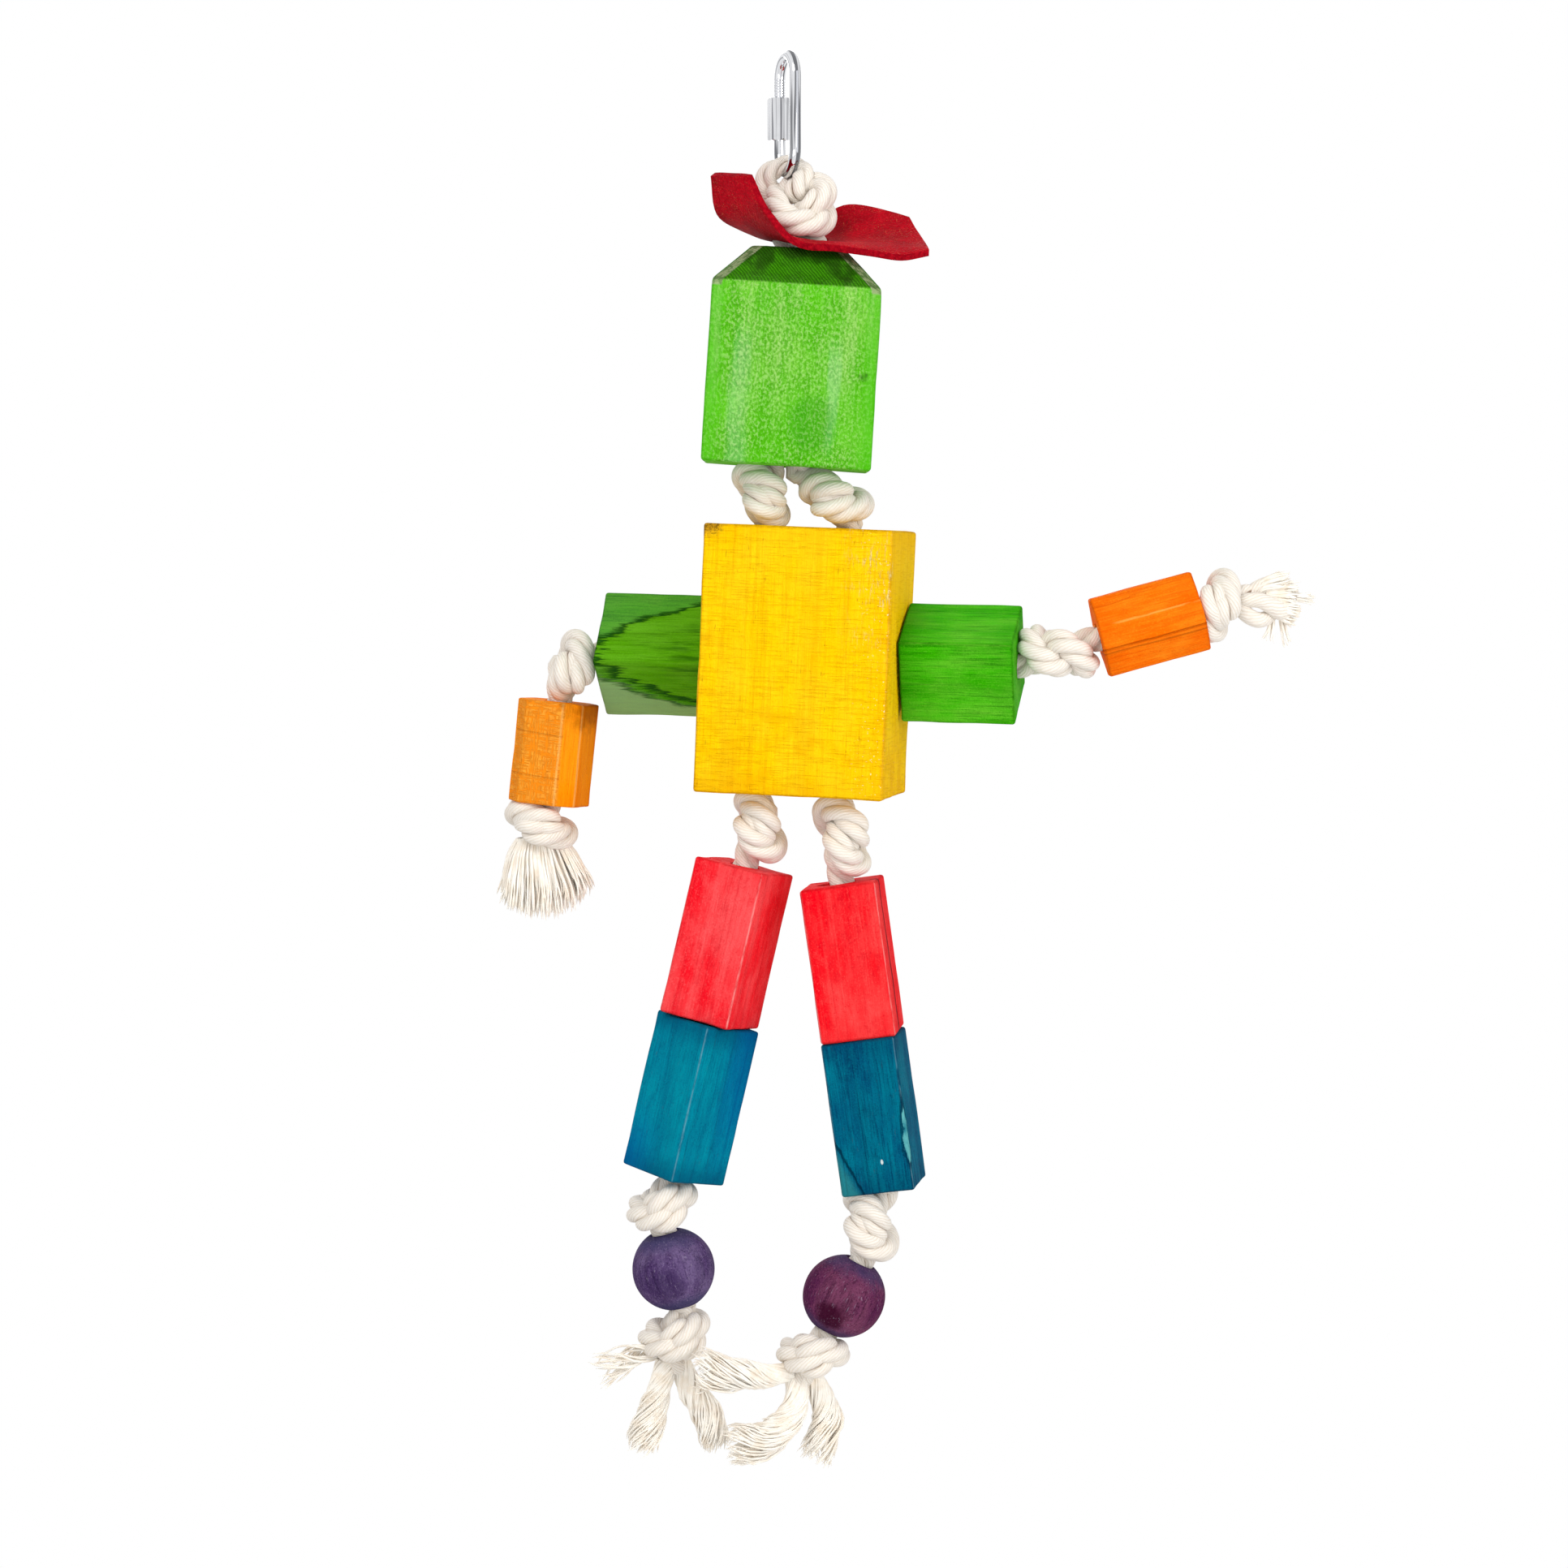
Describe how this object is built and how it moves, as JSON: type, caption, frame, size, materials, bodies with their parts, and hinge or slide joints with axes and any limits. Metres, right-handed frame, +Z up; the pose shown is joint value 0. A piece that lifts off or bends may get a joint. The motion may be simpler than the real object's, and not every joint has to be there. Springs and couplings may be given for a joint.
{
  "type": "hanging wooden block figure toy",
  "caption": "Hanging chew toy figure of dyed wooden blocks strung on knotted cotton rope, with a leather hat, round beads, teased rope ends and a steel quick link to hang it by.",
  "frame": {"origin": "inside top of the quick link's upper bow, where a hook or bar carries the toy", "axes": "+Z up along the hanging figure, +X to the right as seen from the front, front faces -Y"},
  "size_m": [0.2443, 0.0669, 0.4245],
  "materials": {
    "steel": "bright zinc-plated steel wire",
    "cotton_rope": "natural white three-strand cotton rope",
    "leather_red": "thick red-dyed leather, cut edges brighter",
    "wood_leaf_green": "softwood dyed leaf green, grain showing",
    "wood_grass_green": "softwood dyed darker green, grain showing",
    "wood_yellow": "softwood dyed yellow, grain showing",
    "wood_orange": "softwood dyed orange, saw marks",
    "wood_coral": "softwood dyed coral red, grain showing",
    "wood_teal": "softwood dyed teal, grain showing",
    "wood_plum": "turned bead dyed purple"
  },
  "bodies": {
    "link": {"quick_link": "steel"},
    "nut": {"link_nut": "steel"},
    "head": {"crown_knot": "cotton_rope", "head_block": "wood_leaf_green", "head_ropes": "cotton_rope"},
    "hat": {"hat": "leather_red"},
    "neck": {"neck_knot_left": "cotton_rope", "neck_knot_right": "cotton_rope"},
    "torso": {"body_block": "wood_yellow", "body_ropes": "cotton_rope", "arm_rope": "cotton_rope"},
    "upper_arm_left": {"upper_arm_left": "wood_grass_green", "elbow_knot_left": "cotton_rope"},
    "forearm_core_left": {"forearm_rope_left": "cotton_rope", "hand_knot_left": "cotton_rope", "hand_tassel_left": "cotton_rope"},
    "forearm_left": {"forearm_left": "wood_orange"},
    "hip_left": {"hip_knot_left": "cotton_rope"},
    "leg_core_left": {"leg_rope_left": "cotton_rope"},
    "thigh_left": {"thigh_left": "wood_coral"},
    "shin_left": {"shin_left": "wood_teal"},
    "ankle_left": {"ankle_knot_left": "cotton_rope"},
    "foot_core_left": {"bead_rope_left": "cotton_rope", "foot_knot_left": "cotton_rope", "foot_tassel_left": "cotton_rope"},
    "bead_left": {"bead_left": "wood_plum"},
    "upper_arm_right": {"upper_arm_right": "wood_grass_green", "elbow_knot_right": "cotton_rope"},
    "forearm_core_right": {"forearm_rope_right": "cotton_rope", "hand_knot_right": "cotton_rope", "hand_tassel_right": "cotton_rope"},
    "forearm_right": {"forearm_right": "wood_orange"},
    "hip_right": {"hip_knot_right": "cotton_rope"},
    "leg_core_right": {"leg_rope_right": "cotton_rope"},
    "thigh_right": {"thigh_right": "wood_coral"},
    "shin_right": {"shin_right": "wood_teal"},
    "ankle_right": {"ankle_knot_right": "cotton_rope"},
    "foot_core_right": {"bead_rope_right": "cotton_rope", "foot_knot_right": "cotton_rope", "foot_tassel_right": "cotton_rope"},
    "bead_right": {"bead_right": "wood_plum"}
  },
  "joints": [
    {"name": "nut_slide", "type": "slide", "parent": "link", "child": "nut", "axis": [0, 0, 1], "range_m": [0, 0.0052]},
    {"name": "loop_swing", "type": "hinge", "parent": "link", "child": "head", "pos_m": [0, 0, -0.03275], "axis": [-0.342, 0.9397, 0], "range_deg": [-25, 25]},
    {"name": "hat_turn", "type": "hinge", "parent": "head", "child": "hat", "pos_m": [0.0036, 0, -0.05575], "axis": [0.0628, 0, 0.998], "range_deg": [-12, 12]},
    {"name": "neck_sway", "type": "hinge", "parent": "head", "child": "neck", "pos_m": [0.00293, 0.00005, -0.12905], "axis": [0, 1, 0], "range_deg": [-10, 10], "deforming": ["neck_knot_left", "neck_knot_right"]},
    {"name": "neck_nod", "type": "hinge", "parent": "neck", "child": "torso", "pos_m": [0.00293, 0.00005, -0.12905], "axis": [1, 0, 0], "range_deg": [-20, 20]},
    {"name": "arm_turn_left", "type": "hinge", "parent": "torso", "child": "upper_arm_left", "pos_m": [-0.05572, 0.02495, -0.17664], "axis": [0.9846, -0.1736, -0.0221], "range_deg": [-60, 60]},
    {"name": "elbow_left", "type": "hinge", "parent": "upper_arm_left", "child": "forearm_core_left", "pos_m": [-0.06281, 0.02495, -0.18384], "axis": [0.1735, 0.9848, -0.0073], "range_deg": [0, 75], "deforming": ["elbow_knot_left"]},
    {"name": "forearm_spin_left", "type": "hinge", "parent": "forearm_core_left", "child": "forearm_left", "pos_m": [-0.06992, 0.02495, -0.19124], "axis": [0.1011, 0, 0.9949], "continuous": true},
    {"name": "hip_swing_left", "type": "hinge", "parent": "torso", "child": "hip_left", "pos_m": [-0.01103, 0.00226, -0.2286], "axis": [1, 0, 0], "range_deg": [-30, 30], "deforming": ["hip_knot_left"]},
    {"name": "hip_splay_left", "type": "hinge", "parent": "hip_left", "child": "leg_core_left", "pos_m": [-0.01103, 0.00226, -0.2286], "axis": [0, 1, 0], "range_deg": [0, 25]},
    {"name": "thigh_spin_left", "type": "hinge", "parent": "leg_core_left", "child": "thigh_left", "pos_m": [-0.01275, 0.00226, -0.23979], "axis": [0.2267, 0, 0.974], "range_deg": [-20, 20]},
    {"name": "shin_spin_left", "type": "hinge", "parent": "leg_core_left", "child": "shin_left", "pos_m": [-0.02372, 0.00226, -0.28693], "axis": [0.2267, 0, 0.974], "continuous": true},
    {"name": "ankle_swing_left", "type": "hinge", "parent": "leg_core_left", "child": "ankle_left", "pos_m": [-0.03601, 0.00226, -0.34268], "axis": [1, 0, 0], "range_deg": [-30, 30], "deforming": ["ankle_knot_left", "foot_tassel_left"]},
    {"name": "ankle_sway_left", "type": "hinge", "parent": "ankle_left", "child": "foot_core_left", "pos_m": [-0.03601, 0.00226, -0.34268], "axis": [0, 1, 0], "range_deg": [-12, 25]},
    {"name": "bead_spin_left", "type": "hinge", "parent": "foot_core_left", "child": "bead_left", "pos_m": [-0.03729, 0.00226, -0.35147], "axis": [-0.2419, 0, 0.9703], "continuous": true},
    {"name": "arm_turn_right", "type": "hinge", "parent": "torso", "child": "upper_arm_right", "pos_m": [0.06985, 0.00281, -0.17945], "axis": [0.9846, -0.1736, -0.0221], "range_deg": [-60, 60]},
    {"name": "elbow_right", "type": "hinge", "parent": "upper_arm_right", "child": "forearm_core_right", "pos_m": [0.08145, 0.00106, -0.17538], "axis": [-0.1735, -0.9848, 0.0073], "range_deg": [-60, 30], "deforming": ["elbow_knot_right"]},
    {"name": "forearm_spin_right", "type": "hinge", "parent": "forearm_core_right", "child": "forearm_right", "pos_m": [0.09325, -0.00069, -0.17125], "axis": [-0.9646, 0, -0.2639], "continuous": true},
    {"name": "hip_swing_right", "type": "hinge", "parent": "torso", "child": "hip_right", "pos_m": [0.01579, -0.00208, -0.23153], "axis": [1, 0, 0], "range_deg": [-30, 30], "deforming": ["hip_knot_right"]},
    {"name": "hip_splay_right", "type": "hinge", "parent": "hip_right", "child": "leg_core_right", "pos_m": [0.01579, -0.00208, -0.23153], "axis": [0, -1, 0], "range_deg": [0, 25]},
    {"name": "thigh_spin_right", "type": "hinge", "parent": "leg_core_right", "child": "thigh_right", "pos_m": [0.01635, -0.00208, -0.24462], "axis": [-0.1392, 0, 0.9903], "range_deg": [-10, 10]},
    {"name": "shin_spin_right", "type": "hinge", "parent": "leg_core_right", "child": "shin_right", "pos_m": [0.02285, -0.00208, -0.29087], "axis": [-0.1392, 0, 0.9903], "continuous": true},
    {"name": "ankle_swing_right", "type": "hinge", "parent": "leg_core_right", "child": "ankle_right", "pos_m": [0.02579, -0.00208, -0.34832], "axis": [1, 0, 0], "range_deg": [-30, 30], "deforming": ["ankle_knot_right", "foot_tassel_right"]},
    {"name": "ankle_sway_right", "type": "hinge", "parent": "ankle_right", "child": "foot_core_right", "pos_m": [0.02579, -0.00208, -0.34832], "axis": [0, -1, 0], "range_deg": [-12, 25]},
    {"name": "bead_spin_right", "type": "hinge", "parent": "foot_core_right", "child": "bead_right", "pos_m": [0.02215, -0.00208, -0.35972], "axis": [0.4337, 0, 0.9011], "continuous": true}
  ]
}
